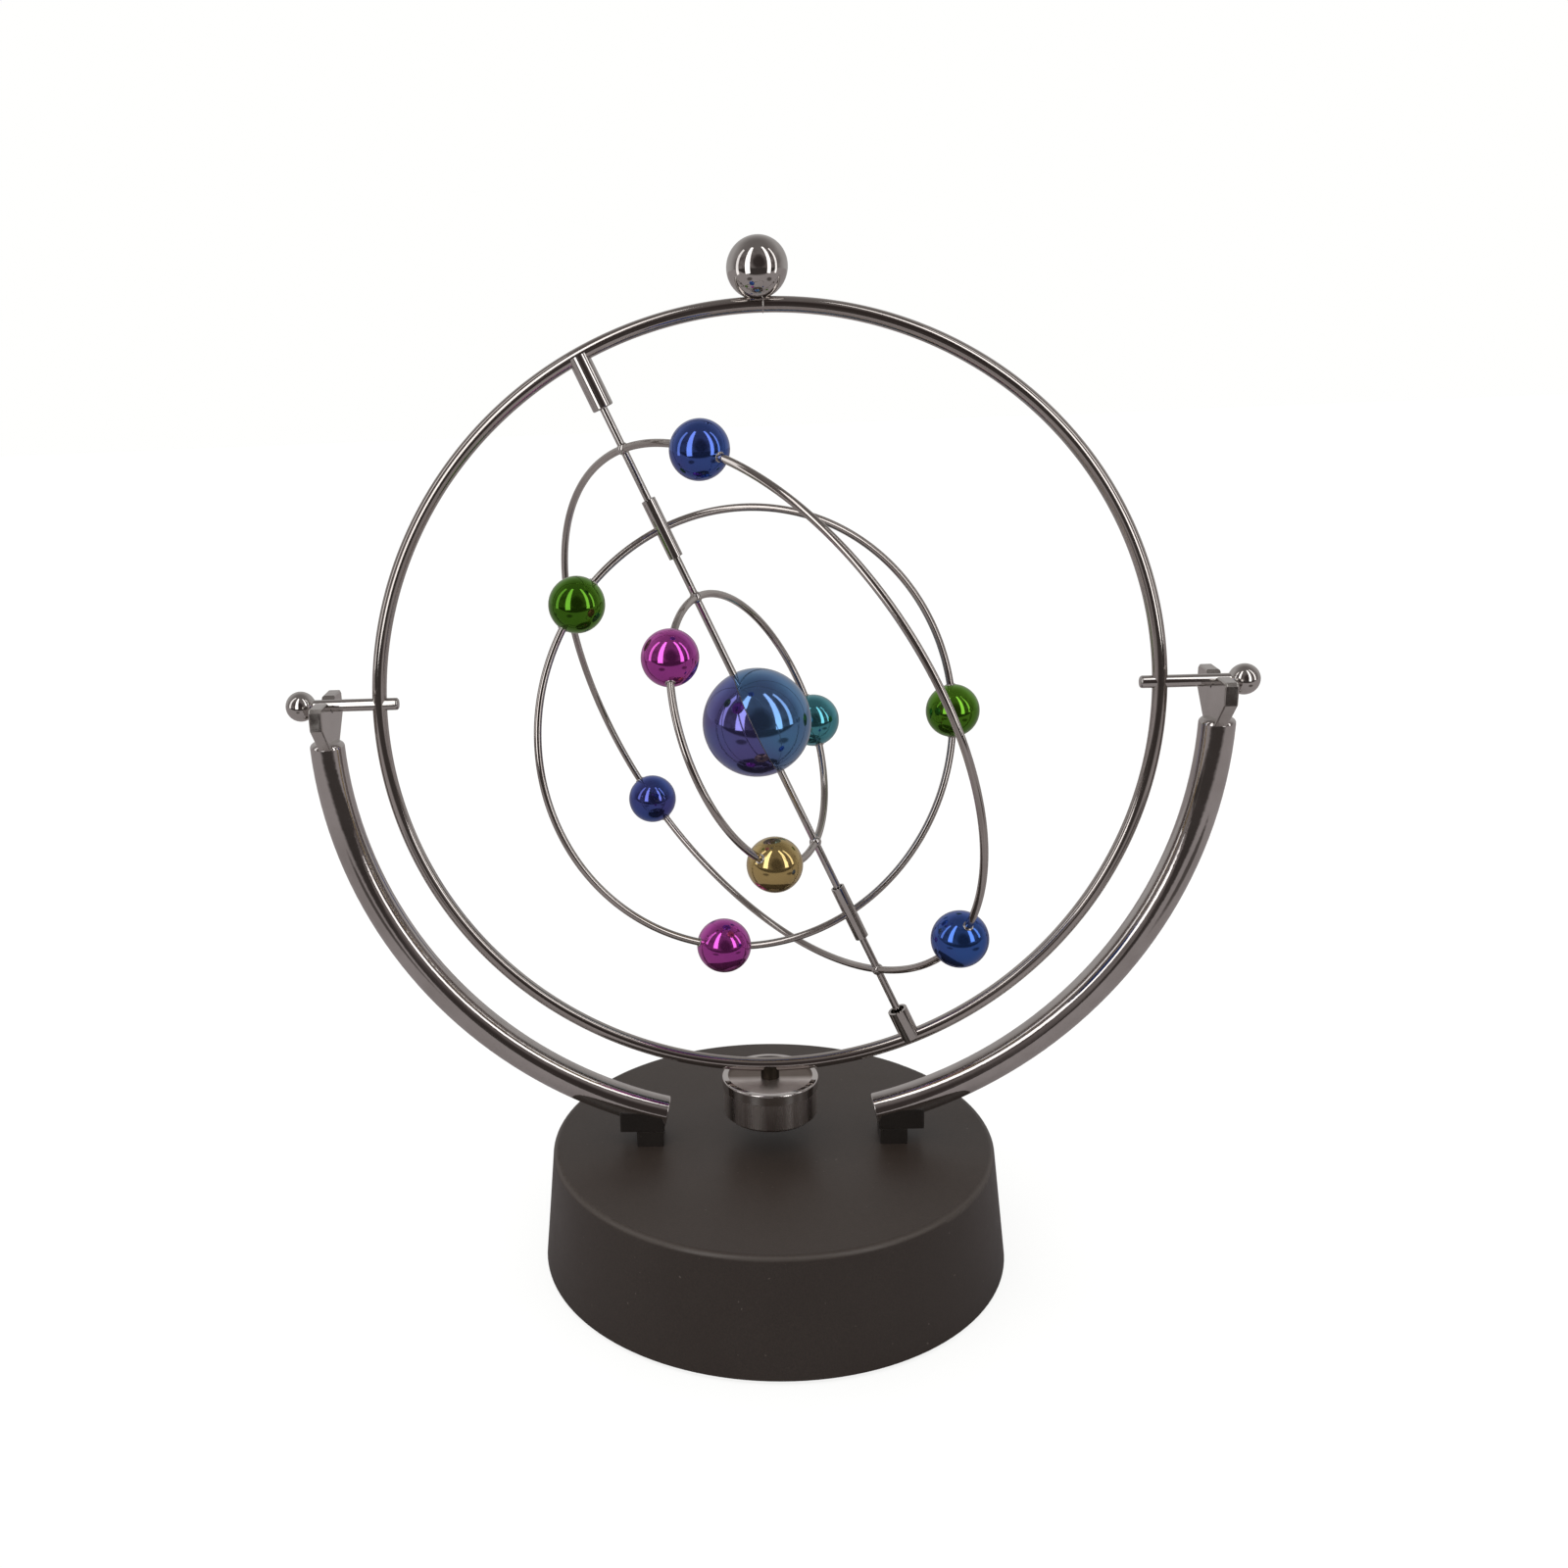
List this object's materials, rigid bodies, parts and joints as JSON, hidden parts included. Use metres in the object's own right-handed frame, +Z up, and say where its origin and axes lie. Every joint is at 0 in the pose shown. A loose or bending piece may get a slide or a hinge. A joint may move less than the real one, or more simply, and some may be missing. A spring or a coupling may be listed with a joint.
{
  "type": "magnetic desk sculpture",
  "caption": "Battery-driven desk mobile: a magnet-weighted ring swings on two curved arms over a round base, with a tilted axle of orbits and coloured balls turning inside it.",
  "frame": {"origin": "centre of the base, on the plane of the foot ring where it meets the table", "axes": "+Z up, +X to the right along the pins, +Y away from the front"},
  "size_m": [0.2182, 0.116, 0.2383],
  "materials": {
    "base_plastic": "fine matte texture",
    "post_plastic": "satin moulded",
    "foot_rubber": "matte",
    "arm_chrome": "bright plated bar",
    "wire_chrome": "bright plated wire",
    "fitting_chrome": "bright plated turned parts",
    "magnet_cup_chrome": "plated, slightly satin",
    "magnet_nickel": "nickel plated",
    "big_ball_blue": "blue anodised, polished",
    "ball_blue": "blue anodised, polished",
    "ball_green": "green anodised, polished",
    "ball_magenta": "magenta anodised, polished",
    "ball_teal": "teal anodised, polished",
    "ball_gold": "gold anodised, polished",
    "bush_nylon": "natural nylon",
    "cell_jacket": "printed film jacket, left plain",
    "contact_nickel": "nickel plated",
    "bobbin_nylon": "natural nylon",
    "copper_wire": "enamelled copper wire",
    "core_steel": "bare steel",
    "board_laminate": "green solder mask",
    "component_black": "moulded",
    "resistor_body": "lacquered",
    "lead_insulation": "red insulation",
    "screw_steel": "zinc plated"
  },
  "bodies": {
    "stand": {"top_shell": "base_plastic", "base_cover": "base_plastic", "foot_ring": "foot_rubber", "cover_screws": "screw_steel", "battery_cell_1": "cell_jacket", "battery_cell_2": "cell_jacket", "battery_cell_3": "cell_jacket", "battery_cell_4": "cell_jacket", "contact_plates": "contact_nickel", "contact_springs": "contact_nickel", "coil_bobbin": "bobbin_nylon", "coil_winding": "copper_wire", "coil_core": "core_steel", "circuit_board": "board_laminate", "transistor": "component_black", "capacitor": "component_black", "resistor": "resistor_body", "coil_leads": "lead_insulation", "battery_leads": "lead_insulation", "left_arm": "arm_chrome", "right_arm": "arm_chrome", "left_fork": "arm_chrome", "right_fork": "arm_chrome", "left_post": "post_plastic", "right_post": "post_plastic", "arm_screws": "screw_steel"},
    "battery_door": {"battery_door": "base_plastic"},
    "ring": {"ring": "wire_chrome", "left_pin": "fitting_chrome", "right_pin": "fitting_chrome", "left_pin_stub": "fitting_chrome", "right_pin_stub": "fitting_chrome", "left_pin_ball": "fitting_chrome", "right_pin_ball": "fitting_chrome", "top_ball": "fitting_chrome", "upper_cup": "fitting_chrome", "lower_cup": "fitting_chrome", "magnet_neck": "fitting_chrome", "magnet_cap": "fitting_chrome", "magnet_shell": "magnet_cup_chrome", "magnet": "magnet_nickel"},
    "axle": {"axle_rod": "wire_chrome", "outer_orbit": "wire_chrome", "inner_orbit": "wire_chrome", "big_ball_left": "big_ball_blue", "big_ball_right": "big_ball_blue", "outer_ball_1": "ball_blue", "outer_ball_2": "ball_blue", "outer_ball_3": "ball_blue", "inner_ball_1": "ball_magenta", "inner_ball_2": "ball_teal", "inner_ball_3": "ball_gold"},
    "middle_orbit": {"middle_orbit": "wire_chrome", "middle_ball_1": "ball_green", "middle_ball_2": "ball_green", "middle_ball_3": "ball_magenta", "upper_sleeve": "fitting_chrome", "lower_sleeve": "fitting_chrome", "sleeve_bushes": "bush_nylon"}
  },
  "joints": [
    {"name": "ring_swing", "type": "hinge", "parent": "stand", "child": "ring", "pos_m": [0, 0, 0.1415], "axis": [1, 0, 0], "continuous": true},
    {"name": "axle_spin", "type": "hinge", "parent": "ring", "child": "axle", "pos_m": [-0.00167, 0, 0.13475], "axis": [-0.4106, 0, 0.9118], "continuous": true},
    {"name": "middle_orbit_turn", "type": "hinge", "parent": "axle", "child": "middle_orbit", "pos_m": [-0.00167, 0, 0.13475], "axis": [-0.4106, 0, 0.9118], "continuous": true},
    {"name": "battery_door_hinge", "type": "hinge", "parent": "stand", "child": "battery_door", "pos_m": [0, -0.0242, 0.002], "axis": [-1, 0, 0], "range_deg": [0, 60]}
  ]
}
